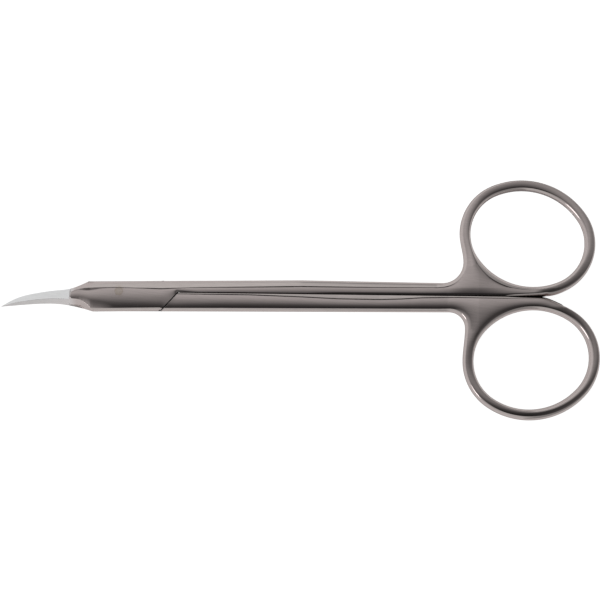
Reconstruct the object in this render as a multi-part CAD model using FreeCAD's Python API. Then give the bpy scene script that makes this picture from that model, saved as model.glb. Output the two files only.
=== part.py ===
"""Fine suture scissors with ring handles and blades curved in the plane of the rings.

The instrument lies closed on the flat back of its joint. Z is the pivot axis and
the origin is where it meets the back face. The blades point to -X, the finger
rings lie at +X, and the front half, on top, carries the upper ring (+Y).
All sizes are in millimetres.
"""
import FreeCAD, Part
import math
import os
from FreeCAD import Vector

# Joint: each half is ground down to its own half of the thickness, and lapped
joint_half_thickness = 1.70
lap_clearance = 0.04          # between the two lapped inner faces
joint_upper_y = 2.05
joint_lower_y = -3.94
joint_left_x = -5.0           # where the lower edge starts to draw in to the blade
upper_root_x = -5.87          # where the upper edge starts to draw in
upper_root_y = 1.86
rear_inset = 0.06             # the rear blade lies this far inside the front one
rear_tip_inset = 0.18         # and its tip this far behind the front one's

# Shoulders: the slanted steps beside which the lapped part of each half lies
shoulder_inner_x = 11.4       # both start here, on the parting line
shoulder_front_x = 7.9        # where the step seen from the front reaches the lower edge
shoulder_back_x = 8.4         # where the step seen from the back reaches the upper edge
shoulder_clearance = 0.20
lap_edge_inset = 0.10         # the front lap stays this far inside the rear half's lower edge

# Shanks, and the parting line between them
parting_y = -0.23             # at the shoulder
parting_slope = -0.0124
parting_clearance = 0.20
upper_taper_x = 35.0          # from here the upper shank's outer edge draws in
upper_shank_end_y = 1.52
lower_taper_x = 20.0
lower_shank_end_y = -4.10
shank_end_x = 62.0
thinning_start_x = 16.0       # the shanks get thinner from here to the next
thinning_end_x = 56.0
thinning_ease = 2.0           # half length of the easing at both ends of that taper
shank_end_half_thickness = 1.25

# Finger rings. side is +1 above the parting line and -1 below it, left_x is the ring's
# left side, parting_wall is the least metal between opening and parting line, half_long and
# half_short are the opening's half axes, and tilt turns its long axis, in degrees.
# crotch_radius rounds the corner between shank and ring, cheek is how far right of left_x
# that rounding ends, and web_angle is the direction in which the web under the ring ends.
upper_ring = {"side": 1, "left_x": 65.36, "parting_wall": 1.77, "half_long": 11.08,
              "half_short": 9.00, "tilt": -17.0, "crotch_radius": 4.0, "cheek": 0.74,
              "web_angle": 284.0}
lower_ring = {"side": -1, "left_x": 65.93, "parting_wall": 2.55, "half_long": 11.10,
              "half_short": 9.50, "tilt": 7.0, "crotch_radius": 3.1, "cheek": 0.47,
              "web_angle": 70.0}
ring_wall = 2.10
ring_thickness = 2.76

# Rounded long edges
outer_edge_radius = 1.10
joint_edge_radius = 0.72
front_parting_edge_radius = 0.20
rear_parting_edge_radius = 0.42
shortest_rounded_edge = 1.5

# Blades: position, upper edge and lower edge, seen from the front
tip_x = -22.82
tip_y = -3.03
blade_stations = [
    (-19.8, -1.42, -2.78),
    (-15.9, -0.40, -2.50),
    (-12.1, 0.12, -2.48),
    (-9.2, 0.50, -2.86),
]
edge_land = 0.12              # thickness left at the cutting edge
bevel_angle = 25.0            # of the broad bevel behind the cutting edge, in degrees
bevel_end_x = -9.5            # where the broad bevel ends in a steep run-out
spine_angle = 38.0            # of the narrow bevel along the back of the blade
tip_spine_height = 0.05       # wall left below the spine bevel

# How both bevels run out on the joint: distance behind bevel_end_x, wall left, angle
bevel_run_out = [(0.6, 0.30, 54.0), (2.0, 0.45, 55.0), (3.6, 0.65, 42.0), (8.0, 1.45, 42.0)]
spine_run_out = [(0.3, 0.60, 38.0), (3.5, 0.65, 38.0), (4.5, 0.95, 42.0), (7.0, 1.50, 42.0)]

# Pivot screw, set from the back and ground off flush with the front
screw_thread_diameter = 1.6
screw_shank_diameter = 2.0
screw_head_diameter = 3.0
screw_head_rim = 0.12         # straight side of the head above its 90 degree cone
screw_running_clearance = 0.03
screw_thread_clearance = 0.01
screw_slot_width = 0.45
screw_slot_depth = 0.40
screw_head_recess = 0.03      # head below the back face, thread end below the front face

# Room round the metal for the solids that cut it
blank_end_x = 110.0
blank_half_width = 40.0
tool_reach = 6.0              # above and below the lap plane
tool_overhang = 2.0           # beyond a blade's edge

lap_plane = joint_half_thickness   # height of the lap plane above the rest plane


def point(x, y, z=0.0):
    return Vector(x, y, z)


def blend(rows, x):
    """Values at x in a table of rows (x, value, ...), straight between the rows."""
    for left, right in zip(rows, rows[1:]):
        if left[0] <= x <= right[0]:
            share = (x - left[0]) / (right[0] - left[0])
            return [a + share * (b - a) for a, b in zip(left[1:], right[1:])]
    return list(rows[0][1:] if x < rows[0][0] else rows[-1][1:])


def parting_line(x, offset=0.0):
    """Point on the line between the closed shanks, shifted across it by offset."""
    return point(x, parting_y + parting_slope * (x - shoulder_inner_x) + offset)


def polyline(points):
    return [Part.makeLine(a, b) for a, b in zip(points, points[1:])]


def curve(points, start=None, end=None):
    """Smooth curve through a few points, with its end directions where they matter."""
    spline = Part.BSplineCurve()
    if start is None:
        spline.interpolate(points)
    else:
        spline.interpolate(Points=points, InitialTangent=start, FinalTangent=end)
    return spline.toShape()


def prism(edges, low, high):
    face = Part.Face(Part.Wire(edges))
    face.translate(point(0, 0, low))
    return face.extrude(point(0, 0, high - low))


def polygon_prism(points, low, high):
    return prism(Part.makePolygon(points + points[:1]).Edges, low, high)


def oval_radii(ring):
    """Radii of the arcs at the ends and along the sides of a ring's opening."""
    half_long, half_short = ring["half_long"], ring["half_short"]
    diagonal = math.hypot(half_long, half_short)
    end_radius = (diagonal ** 2 - (half_long - half_short) * diagonal) / (2 * half_long)
    side_radius = (diagonal ** 2 - 2 * half_long * end_radius) / (2 * (half_short - end_radius))
    return end_radius, side_radius


def ring_centre(ring):
    """Centre that puts the ring's left side and its wall at the parting line in their places."""
    end_radius, side_radius = oval_radii(ring)
    tilt, side = math.radians(ring["tilt"]), ring["side"]
    hollow = side_radius - ring["half_short"]
    x = ring["left_x"] + ring_wall + end_radius
    x += (ring["half_long"] - end_radius) * math.cos(tilt)
    nearest_x = x - side * hollow * math.sin(tilt)
    wall = side * (parting_clearance / 2 + ring["parting_wall"])
    reach = side_radius - hollow * math.cos(tilt)
    return point(x, parting_line(nearest_x, wall).y + side * reach)


def oval_arcs(ring, grow):
    """The four tangent arcs of a ring's opening, grown by a distance, anticlockwise.

    Each is (centre, radius, first angle, last angle) in radians: right end, upper
    side, left end, lower side.
    """
    end_radius, side_radius = oval_radii(ring)
    tilt = math.radians(ring["tilt"])
    inward, hollow = ring["half_long"] - end_radius, side_radius - ring["half_short"]
    along = point(math.cos(tilt), math.sin(tilt)) * inward
    across = point(-math.sin(tilt), math.cos(tilt)) * hollow
    half_turn = math.atan2(hollow, inward)
    centre = ring_centre(ring)
    turns = [tilt - half_turn, tilt + half_turn, tilt + math.pi - half_turn,
             tilt + math.pi + half_turn, tilt + 2 * math.pi - half_turn]
    centres = [centre + along, centre - across, centre - along, centre + across]
    radii = [end_radius, side_radius, end_radius, side_radius]
    return [(centres[i], radii[i] + grow, turns[i], turns[i + 1]) for i in range(4)]


def arc_edge(centre, radius, first, last):
    return Part.Arc(Part.Circle(centre, point(0, 0, 1), radius), first, last).toShape()


def ring_section():
    """Oval section of a finger ring: a smooth closed curve through eight of its points."""
    turns = [math.radians(22.5 + 45 * i) for i in range(8)]
    oval = Part.BSplineCurve()
    oval.interpolate(Points=[point(ring_thickness / 2 * math.cos(turn), ring_wall / 2 * math.sin(turn))
                             for turn in turns], PeriodicFlag=True)
    return Part.Wire([oval.toShape()])


def finger_ring(ring):
    """Ring turned arc by arc about the centres of its wall's middle line."""
    stretches = []
    for centre, radius, first, last in oval_arcs(ring, ring_wall / 2):
        section = ring_section()
        section.rotate(point(0, 0), point(0, 1, 0), -90)
        section.rotate(point(0, 0), point(0, 0, 1), math.degrees(first) + 90)
        section.translate(centre + point(math.cos(first), math.sin(first)) * radius)
        turn = math.degrees(last - first)
        stretches.append(Part.Face(section).revolve(centre, point(0, 0, 1), turn))
    return stretches[0].fuse(stretches[1:])


def softened(corners, reach):
    """Open line through the corners, with each inner corner eased by a tangent arc."""
    edges = []
    start = corners[0]
    for before, corner, after in zip(corners, corners[1:], corners[2:]):
        into = (corner - before).normalize()
        out = (after - corner).normalize()
        middle = corner + (out - into).normalize() * (reach * math.tan(into.getAngle(out) / 4))
        first, last = corner - into * reach, corner + out * reach
        edges += [Part.makeLine(start, first), Part.Arc(first, middle, last).toShape()]
        start = last
    return edges + [Part.makeLine(start, corners[-1])]


def tapered_slab():
    """Room that the grinding of both broad faces leaves: even at the joint, thinner at the rings."""
    left, right, side = tip_x - tool_reach, blank_end_x, blank_half_width
    profile = [(left, joint_half_thickness), (thinning_start_x, joint_half_thickness),
               (thinning_end_x, shank_end_half_thickness), (right, shank_end_half_thickness)]
    upper = [Vector(x, -side, z) for x, z in profile]
    lower = [Vector(x, -side, -z) for x, z in profile[::-1]]
    edges = softened(upper, thinning_ease) + softened(lower, thinning_ease)
    edges += [Part.makeLine(upper[-1], lower[0]), Part.makeLine(lower[-1], upper[0])]
    face = Part.Face(Part.Wire(Part.__sortEdges__(edges)))
    return face.extrude(point(0, 2 * side, 0))


def blade_contours(inset, tip_inset):
    """Points of a blade's upper and lower edge, from the tip to the root."""
    tip = point(tip_x + tip_inset, tip_y)
    upper = [tip] + [point(x, up - inset) for x, up, low in blade_stations]
    lower = [tip] + [point(x, low + inset) for x, up, low in blade_stations]
    upper.append(point(upper_root_x, upper_root_y - inset))
    lower.append(point(joint_left_x, joint_lower_y + inset))
    return upper, lower


def crotch_and_web(ring, taper_start, end_y):
    """Edges of a half's outline from the shank round the crotch and under its ring."""
    side, radius = ring["side"], ring["crotch_radius"]
    slope = (end_y - taper_start.y) / (shank_end_x - taper_start.x)
    lean = math.atan(slope)
    cheek_x = ring["left_x"] + ring["cheek"]
    edge_y = taper_start.y + slope * (cheek_x - radius - taper_start.x)
    centre = point(cheek_x - radius, edge_y + side * radius / math.cos(lean))
    start = centre + point(side * math.sin(lean), -side * math.cos(lean)) * radius
    middle = centre + point(1, -side).normalize() * radius
    cheek = point(cheek_x, centre.y)
    right, upper, left, lower = oval_arcs(ring, ring_wall / 2)
    beside = left[0] - point(left[1], 0)
    web_angle = math.radians(ring["web_angle"])
    if side > 0:
        near = lower
        under = [arc_edge(left[0], left[1], math.pi, left[3]),
                 arc_edge(lower[0], lower[1], lower[2], web_angle)]
    else:
        near = upper
        under = [arc_edge(left[0], left[1], left[2], math.pi),
                 arc_edge(upper[0], upper[1], web_angle, upper[3])]
    web_end = near[0] + point(math.cos(web_angle), math.sin(web_angle)) * near[1]
    parting_end = parting_line(web_end.x, side * parting_clearance / 2)
    upright = point(0, side * abs(beside.y - cheek.y))
    edges = polyline([taper_start, start]) + [Part.Arc(start, middle, cheek).toShape()]
    edges += [curve([cheek, beside], upright, upright)] + under
    return edges + polyline([web_end, parting_end]), parting_end


def shoulder_ends():
    """Where the front and the back shoulder reach the lower and the upper edge."""
    front = point(shoulder_front_x, joint_lower_y)
    back = point(shoulder_back_x, joint_upper_y)
    return front, back


def front_outline():
    upper, lower = blade_contours(0.0, 0.0)
    taper_start = point(upper_taper_x, joint_upper_y)
    edges = [curve(upper)] + polyline([upper[-1], taper_start])
    web, parting_end = crotch_and_web(upper_ring, taper_start, upper_shank_end_y)
    front, back = shoulder_ends()
    away = point(-shoulder_clearance / 2, 0)
    inner = parting_line(shoulder_inner_x, parting_clearance / 2) + away
    toe = front + away + point(0, lap_edge_inset)
    edges += web + polyline([parting_end, inner, toe, lower[-1]])
    return edges + [curve(lower[::-1])]


def rear_outline():
    upper, lower = blade_contours(rear_inset, rear_tip_inset)
    taper_start = point(lower_taper_x, joint_lower_y)
    edges = [curve(lower)] + polyline([lower[-1], taper_start])
    web, parting_end = crotch_and_web(lower_ring, taper_start, lower_shank_end_y)
    front, back = shoulder_ends()
    away = point(-shoulder_clearance / 2, 0)
    inner = parting_line(shoulder_inner_x, -parting_clearance / 2) + away
    toe = back + away - point(0, lap_edge_inset)
    edges += web + polyline([parting_end, inner, toe, upper[-1]])
    return edges + [curve(upper[::-1])]


def beside_shoulder(end, low, high):
    """Everything on the blade side of the shoulder from the parting line to end."""
    inner = parting_line(shoulder_inner_x)
    gap = point(shoulder_clearance / 2, 0)
    along = end - inner
    far = inner + along * (blank_half_width / abs(along.y)) + gap
    beyond = point(inner.x + gap.x, -math.copysign(blank_half_width, along.y))
    left = tip_x - tool_reach
    return polygon_prism([inner + gap, far, point(left, far.y), point(left, beyond.y), beyond],
                         low, high)


def long_edges(solid, side, x_range, clear_range, faces=0):
    """Long edges of the broad faces, chosen by where their middle lies.

    clear_range is measured from the parting line to the side of the half's own ring.
    faces is 1 for the outer face only and 0 for both.
    """
    chosen = []
    for edge in solid.Edges:
        middle = edge.valueAt((edge.FirstParameter + edge.LastParameter) / 2)
        clear = side * (middle.y - parting_line(middle.x).y)
        lies_flat = edge.BoundBox.ZLength < joint_half_thickness / 2
        if not lies_flat or edge.Length < shortest_rounded_edge or middle.z * faces < 0:
            continue
        if x_range[0] < middle.x < x_range[1] and clear_range[0] < clear < clear_range[1]:
            chosen.append(edge)
    return chosen


def grinding_tool(contour, side, grind):
    """Solid that leaves a bevel along a contour.

    side is 1 where the material lies below the contour. grind has rows of
    position, height left at the contour and angle of the bevel.
    """
    edge_rows = [(p.x, p.y) for p in contour]
    sections = []
    for x in sorted({round(row[0], 3) for row in grind + edge_rows}):
        height, angle = blend(grind, x)
        foot_y = blend(edge_rows, x)[0]
        slope = math.tan(math.radians(angle))
        corners = [Vector(x, foot_y + side * tool_overhang, height - tool_overhang * slope),
                   Vector(x, foot_y + side * tool_overhang, tool_reach),
                   Vector(x, foot_y - side * (tool_reach - height) / slope, tool_reach)]
        sections.append(Part.makePolygon(corners + corners[:1]))
    return Part.makeLoft(sections, True, True)


def bevel_tools(contours, side):
    """Tools for the cutting edge and for the spine of a blade.

    side is 1 where the cutting edge is the upper contour.
    """
    upper, lower = contours
    cutting, spine = (upper, lower) if side > 0 else (lower, upper)
    beyond = tip_x - tool_overhang
    cutting_grind = [(beyond, edge_land, bevel_angle), (bevel_end_x, edge_land, bevel_angle)]
    cutting_grind += [(bevel_end_x + back, wall, angle) for back, wall, angle in bevel_run_out]
    spine_grind = [(beyond, tip_spine_height, spine_angle)]
    spine_grind += [(bevel_end_x + back, wall, angle) for back, wall, angle in spine_run_out]
    return [grinding_tool(cutting, side, cutting_grind), grinding_tool(spine, -side, spine_grind)]


def make_half(outline, ring, shoulder_end, contours, parting_radius):
    """One half with its lap plane at z = 0 and its outer face up."""
    side = ring["side"]
    along_parting = (shoulder_inner_x, ring_centre(ring).x)
    along_outside = (joint_left_x, ring["left_x"] + ring_wall / 2)
    along_joint = (joint_left_x, shoulder_front_x)
    beside_parting = (0.0, parting_clearance)
    own_side = (outer_edge_radius, blank_half_width)
    other_side = (-blank_half_width, -outer_edge_radius)
    half = tapered_slab().common(prism(outline, -tool_reach, tool_reach)).Solids[0]
    half = half.makeFillet(parting_radius, long_edges(half, side, along_parting, beside_parting))
    half = half.makeFillet(outer_edge_radius, long_edges(half, side, along_outside, own_side))
    half = half.makeFillet(joint_edge_radius, long_edges(half, side, along_joint, other_side, 1))
    half = half.fuse(finger_ring(ring))
    gap = side * parting_clearance / 2
    far = -side * blank_half_width
    half = half.cut(polygon_prism([parting_line(ring["left_x"], gap), parting_line(blank_end_x, gap),
                                   point(blank_end_x, far), point(ring["left_x"], far)],
                                  -tool_reach, tool_reach))
    half = half.cut(beside_shoulder(shoulder_end, -tool_reach, lap_clearance / 2))
    for tool in bevel_tools(contours, side):
        half = half.cut(tool)
    return half.Solids[0]


def screw_profile(low, high, grow=0.0):
    """Half section of the screw's head and plain shank from low to high, grown by a clearance."""
    head = screw_head_diameter / 2 + grow
    shank = screw_shank_diameter / 2 + grow
    rim_top = screw_head_recess + screw_head_rim
    return [(0.0, low), (head, low), (head, rim_top), (shank, rim_top + head - shank), (shank, high)]


def turned(profile):
    outline = [Vector(radius, 0, z) for radius, z in profile]
    face = Part.Face(Part.makePolygon(outline + outline[:1]))
    return face.revolve(point(0, 0), point(0, 0, 1), 360)


def make_front_half():
    back_end = shoulder_ends()[1]
    half = make_half(front_outline(), upper_ring, back_end, blade_contours(0.0, 0.0),
                     front_parting_edge_radius)
    half.translate(point(0, 0, lap_plane))
    bore = Part.makeCylinder(screw_thread_diameter / 2 + screw_thread_clearance, 2 * tool_reach)
    return half.cut(bore)


def make_rear_half():
    front_end = shoulder_ends()[0]
    half = make_half(rear_outline(), lower_ring, front_end,
                     blade_contours(rear_inset, rear_tip_inset), rear_parting_edge_radius)
    half = half.mirror(point(0, 0), point(0, 0, 1))
    half.translate(point(0, 0, lap_plane))
    bore = screw_profile(-tool_reach, 2 * tool_reach, screw_running_clearance)
    return half.cut(turned(bore + [(0.0, 2 * tool_reach)]))


def make_pivot_screw():
    shank_end = lap_plane + lap_clearance / 2
    thread = screw_thread_diameter / 2
    thread_end = 2 * joint_half_thickness - screw_head_recess
    screw = turned(screw_profile(screw_head_recess, shank_end)
                   + [(thread, shank_end), (thread, thread_end), (0.0, thread_end)])
    slot = Part.makeBox(2 * screw_head_diameter, screw_slot_width, tool_reach + screw_slot_depth,
                        point(-screw_head_diameter, -screw_slot_width / 2,
                              screw_head_recess - tool_reach))
    return screw.cut(slot)


parts = {
    "front_half": make_front_half(),
    "rear_half": make_rear_half(),
    "pivot_screw": make_pivot_screw(),
}

os.makedirs("parts", exist_ok=True)
for name, shape in parts.items():
    solid = shape.Solids[0]
    box = solid.optimalBoundingBox(False)
    print(name, "solids", len(shape.Solids), "valid", solid.isValid(),
          "volume", round(solid.Volume, 2), "length", round(box.XLength, 2),
          "width", round(box.YLength, 2), "height", round(box.ZLength, 2))
    solid.exportStep("parts/" + name + ".step")
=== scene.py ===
# %% [markdown]
# Fine suture scissors, closed, on a white table, seen from straight above. The packed
# model gives the joint, the box and the places. The two forged halves are modelled here
# as polished metal, because a mirror finish shows every flat of a coarse mesh. Sizes
# are in millimetres until a mesh is made, and then in metres, as the frame is.

# %% Load the frame
import bpy
import math
import numpy as np
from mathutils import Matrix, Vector
from mathutils.geometry import delaunay_2d_cdt


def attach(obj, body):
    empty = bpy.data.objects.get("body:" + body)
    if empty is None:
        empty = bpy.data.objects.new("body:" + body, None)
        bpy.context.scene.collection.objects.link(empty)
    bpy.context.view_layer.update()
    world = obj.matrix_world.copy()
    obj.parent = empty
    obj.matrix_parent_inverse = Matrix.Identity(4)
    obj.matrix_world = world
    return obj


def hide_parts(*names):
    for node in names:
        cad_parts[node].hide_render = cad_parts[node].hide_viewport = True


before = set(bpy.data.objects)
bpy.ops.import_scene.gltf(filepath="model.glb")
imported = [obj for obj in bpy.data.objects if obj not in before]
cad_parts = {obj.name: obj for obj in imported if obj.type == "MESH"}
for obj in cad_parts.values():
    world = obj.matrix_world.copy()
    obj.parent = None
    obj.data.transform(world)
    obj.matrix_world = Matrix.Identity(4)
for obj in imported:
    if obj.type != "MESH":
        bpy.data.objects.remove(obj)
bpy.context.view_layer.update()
MM = 0.001
scene = bpy.context.scene

# %% [markdown]
# The sizes of the forgings come first. Both halves share one joint, so the lap plane,
# the parting line between the closed shanks and the slanted shoulders are written once
# and used by both. Each half then has its own ring, its own crotch between shank and
# ring, and its own hand-ground bands along the edges.

# %% Sizes shared by both halves
lap_plane = 1.70
lap_gap = 0.04
joint_half_thickness, shank_half_thickness, ring_half_thickness = 1.70, 1.25, 1.38
ring_wall = 2.10
parting_y, parting_slope, parting_gap = -0.23, -0.0124, 0.20
shoulder_x, shoulder_front_x, shoulder_back_x = 11.4, 7.9, 8.4
shoulder_gap = 0.20
joint_upper_y, joint_lower_y, joint_left_x = 2.05, -3.94, -5.0
upper_root = (-5.87, 1.86)
shank_end_x = 62.0
tip = (-22.82, -3.03)
blade_stations = [(-19.8, -1.42, -2.78), (-15.9, -0.40, -2.50), (-12.1, 0.12, -2.48),
                  (-9.2, 0.50, -2.86)]


def parting_line(x, offset=0.0):
    return np.array([x, parting_y + parting_slope * (x - shoulder_x) + offset])


# %% Sizes of each half
# ring_lean: slope of the ring's wall down the page, and inward on its left and right.
# ring_band: width of the softened band, and its change by the way the edge faces.
front = {
    "side": 1, "inset": 0.0, "tip_inset": 0.0, "taper_x": 35.0, "shank_end_y": 1.52,
    "ring": {"left_x": 65.36, "parting_wall": 1.77, "half_long": 11.08, "half_short": 9.00,
             "tilt": -17.0},
    "crotch_radius": 4.0, "cheek": 0.74, "ring_lean": (0.095, 0.0, -0.06),
    "ring_band": (0.56, -0.31, -0.20),
    "web_band": [(67.5, 0.5), (69.0, 0.95), (71.0, 1.05), (74.0, 0.90), (77.0, 0.70),
                 (81.0, 0.56), (85.0, 0.50)],
    "outer_band": [(-5.9, 1.15), (-3.6, 1.20), (0, 1.25), (6, 1.50), (8, 1.62), (14, 1.36),
                   (35, 1.20), (50, 1.12), (60, 0.95), (66, 0.85), (72, 0.55)],
    "parting_band": [(12, 0.30), (60, 0.45), (74, 0.45), (81, 0.80)],
    "lap_band": [(-5, 0.72), (8, 0.75)],
}
rear = {
    "side": -1, "inset": 0.06, "tip_inset": 0.18, "taper_x": 20.0, "shank_end_y": -4.10,
    "ring": {"left_x": 65.93, "parting_wall": 2.55, "half_long": 11.10, "half_short": 9.50,
             "tilt": 7.0},
    "crotch_radius": 3.1, "cheek": 0.47, "ring_lean": (0.135, 0.10, 0.0),
    "ring_band": (0.52, -0.36, -0.06), "web_band": [(66.0, 0.7), (72.0, 0.95), (84.0, 0.90)],
    "outer_band": [(-5, 0.75), (66, 0.75), (72, 0.55)],
    "parting_band": [(12, 0.30), (25, 0.35), (35, 0.62), (42, 0.90), (50, 0.95), (54, 0.80),
                     (58, 0.52), (65, 0.35), (80, 0.32)],
    "lap_band": [(-5.9, 0.9), (8, 0.9)],
}
print("ring openings in mm:", [(2 * half["ring"]["half_long"], 2 * half["ring"]["half_short"])
                               for half in (front, rear)])

# %% [markdown]
# An outline is straight lines, arcs and one smooth curve for each blade edge. Every
# half is a set of named edges that run anticlockwise, so the metal is on their left.

# %% Drawing helpers


def line(a, b, step=0.3):
    a, b = np.array(a, float), np.array(b, float)
    count = max(1, int(np.linalg.norm(b - a) / step))
    return a + (b - a) * (np.arange(count + 1) / count)[:, None]


def arc(centre, radius, first, last, step=0.22):
    count = max(6, int(abs(last - first) * radius / step))
    turns = np.linspace(first, last, count + 1)
    return np.array(centre) + radius * np.stack([np.cos(turns), np.sin(turns)], 1)


def smooth_curve(points, step=0.2):
    """Natural cubic through a few points, spaced by chord length."""
    points = np.array(points, float)
    reach = np.concatenate([[0], np.cumsum(np.linalg.norm(np.diff(points, axis=0), axis=1))])
    gaps = np.diff(reach)
    count = len(points)
    matrix, right = np.eye(count), np.zeros((count, 2))
    for i in range(1, count - 1):
        matrix[i, i - 1:i + 2] = gaps[i - 1], 2 * (gaps[i - 1] + gaps[i]), gaps[i]
        right[i] = 6 * ((points[i + 1] - points[i]) / gaps[i]
                        - (points[i] - points[i - 1]) / gaps[i - 1])
    bend = np.linalg.solve(matrix, right)
    at = np.linspace(0, reach[-1], int(reach[-1] / step) + 1)
    part = np.clip(np.searchsorted(reach, at, "right") - 1, 0, count - 2)
    gap, ahead, back = (row[:, None] for row in (gaps[part], reach[part + 1] - at,
                                                 at - reach[part]))
    return (bend[part] * ahead ** 3 / (6 * gap) + bend[part + 1] * back ** 3 / (6 * gap)
            + (points[part] / gap - bend[part] * gap / 6) * ahead
            + (points[part + 1] / gap - bend[part + 1] * gap / 6) * back)


def swept(start, start_way, end, end_way, count=24):
    """Smooth transition between two points with given directions."""
    start, end = np.array(start, float), np.array(end, float)
    span = np.linalg.norm(end - start)
    a, b = np.array(start_way, float) * span, np.array(end_way, float) * span
    t = np.linspace(0, 1, count)[:, None]
    return (start * (2 * t ** 3 - 3 * t ** 2 + 1) + a * (t ** 3 - 2 * t ** 2 + t)
            + end * (3 * t ** 2 - 2 * t ** 3) + b * (t ** 3 - t ** 2))


def oval_arcs(half, grow):
    """The ring's opening as four tangent arcs, grown by a distance, anticlockwise."""
    ring, side = half["ring"], half["side"]
    long, short = ring["half_long"], ring["half_short"]
    diagonal = math.hypot(long, short)
    end_radius = (diagonal ** 2 - (long - short) * diagonal) / (2 * long)
    side_radius = (diagonal ** 2 - 2 * long * end_radius) / (2 * (short - end_radius))
    tilt, hollow, inward = math.radians(ring["tilt"]), side_radius - short, long - end_radius
    x = ring["left_x"] + ring_wall + end_radius + inward * math.cos(tilt)
    wall = side * (parting_gap / 2 + ring["parting_wall"])
    nearest = parting_line(x - side * hollow * math.sin(tilt), wall)[1]
    centre = np.array([x, nearest + side * (side_radius - hollow * math.cos(tilt))])
    along = np.array([math.cos(tilt), math.sin(tilt)]) * inward
    across = np.array([-math.sin(tilt), math.cos(tilt)]) * hollow
    turn = math.atan2(hollow, inward)
    turns = [tilt - turn, tilt + turn, tilt + math.pi - turn, tilt + math.pi + turn,
             tilt + 2 * math.pi - turn]
    centres = [centre + along, centre - across, centre - along, centre + across]
    radii = [end_radius, side_radius, end_radius, side_radius]
    return [(centres[i], radii[i] + grow, turns[i], turns[i + 1]) for i in range(4)]


def oval(half, grow, first, last):
    """Points of the oval from one direction of its arcs to another, anticlockwise."""
    pieces = []
    for round_trip in (-2, -1, 0, 1):
        for centre, radius, start, end in oval_arcs(half, grow):
            start, end = start + round_trip * 2 * math.pi, end + round_trip * 2 * math.pi
            low, high = max(start, first), min(end, last)
            if high - low > 1e-6:
                pieces.append(arc(centre, radius, low, high))
    return joined(pieces)


def joined(pieces):
    points = [pieces[0]]
    for piece in pieces[1:]:
        points.append(piece[1:] if np.linalg.norm(piece[0] - points[-1][-1]) < 1e-6 else piece)
    return np.concatenate(points)


def inward_of(path):
    """Direction into the metal for each stretch of a path."""
    way = np.diff(path, axis=0)
    way /= np.linalg.norm(way, axis=1)[:, None]
    return np.stack([-way[:, 1], way[:, 0]], 1)


# %% Outline of a half


def blade_edges(half):
    """The blade's lower edge from tip to root and its upper edge from root to tip."""
    inset = half["inset"]
    point = (tip[0] + half["tip_inset"], tip[1])
    lower = [point] + [(x, low + inset) for x, up, low in blade_stations]
    upper = [point] + [(x, up - inset) for x, up, low in blade_stations]
    lower.append((joint_left_x, joint_lower_y + inset))
    upper.append((upper_root[0], upper_root[1] - inset))
    return smooth_curve(lower), smooth_curve(upper)[::-1]


def shank_and_crotch(half):
    """From where the shank starts to taper, round the crotch, to the ring's left side."""
    side, radius = half["side"], half["crotch_radius"]
    start_y = joint_upper_y if side > 0 else joint_lower_y
    slope = (half["shank_end_y"] - start_y) / (shank_end_x - half["taper_x"])
    lean = math.atan(slope)
    cheek_x = half["ring"]["left_x"] + half["cheek"]
    edge_y = start_y + slope * (cheek_x - radius - half["taper_x"])
    centre = np.array([cheek_x - radius, edge_y + side * radius / math.cos(lean)])
    left_centre, left_radius = oval_arcs(half, ring_wall)[2][:2]
    ring_left = left_centre - np.array([left_radius, 0])
    start = -side * math.pi / 2 + lean
    crotch = arc(centre, radius, start, 0.0, 0.15)
    cheek = swept(crotch[-1], (0, side), ring_left, (0, side), 34)
    return joined([line((half["taper_x"], start_y), crotch[0]), crotch, cheek])


def make_outline(half):
    side, inset = half["side"], half["inset"]
    lower, upper = blade_edges(half)
    away = np.array([-shoulder_gap / 2, 0])
    gap = side * parting_gap / 2
    inner = parting_line(shoulder_x, gap) + away
    handle = shank_and_crotch(half)
    if side > 0:
        toe = np.array([shoulder_front_x, joint_lower_y + 0.10]) + away
        leave, meet = parting_line(82.0, gap), math.radians(-64.0)
        outer = oval(half, ring_wall, meet, math.pi)
        inward = inward_of(outer[:2])[0]
        lead = swept(leave, (1, parting_slope), outer[0], (inward[1], -inward[0]))
        half["edges"] = {
            "spine": lower, "lap": line(lower[-1], toe), "shoulder": line(toe, inner),
            "parting": line(inner, leave),
            "outer": joined([lead, outer[1:], handle[::-1][1:],
                             line((half["taper_x"], joint_upper_y), upper[0])]),
            "cutting": upper}
    else:
        toe = np.array([shoulder_back_x, joint_upper_y - 0.10]) + away
        leave, meet = parting_line(80.4, gap), math.radians(66.0)
        outer = oval(half, ring_wall, -math.pi, meet)
        inward = inward_of(outer[-2:])[0]
        lead = swept(outer[-1], (inward[1], -inward[0]), leave, (-1, -parting_slope), 20)
        half["edges"] = {
            "cutting": lower,
            "outer": joined([line(lower[-1], (half["taper_x"], joint_lower_y)), handle[1:],
                             outer[1:]]),
            "parting": joined([lead, line(leave, inner)]),
            "shoulder": line(inner, toe), "lap": line(toe, upper[0]), "spine": upper}
    half["opening"] = oval(half, 0.0, 0.0, 2 * math.pi)[::-1]
    half["outline"] = joined(list(half["edges"].values()))
    half["edges"]["opening"] = half["opening"]
    return half


for half in (front, rear):
    make_outline(half)
    size = np.ptp(half["outline"], axis=0)
    print("outline:", len(half["outline"]), "points,", size.round(2), "mm")

# %% [markdown]
# The broad faces of a forged and polished instrument are never flat. Each crowns
# gently from edge to edge, and a grinding belt leaves a softer, steeper band along each
# long edge. So the surface is a height above the middle plane, worked out from the
# distances to the edges: a crown, a crease where a band starts, and a round-over that
# turns upright at the edge. Hand polishing leans every face a little to one side and
# leaves the bands that face up the page narrower.

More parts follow.
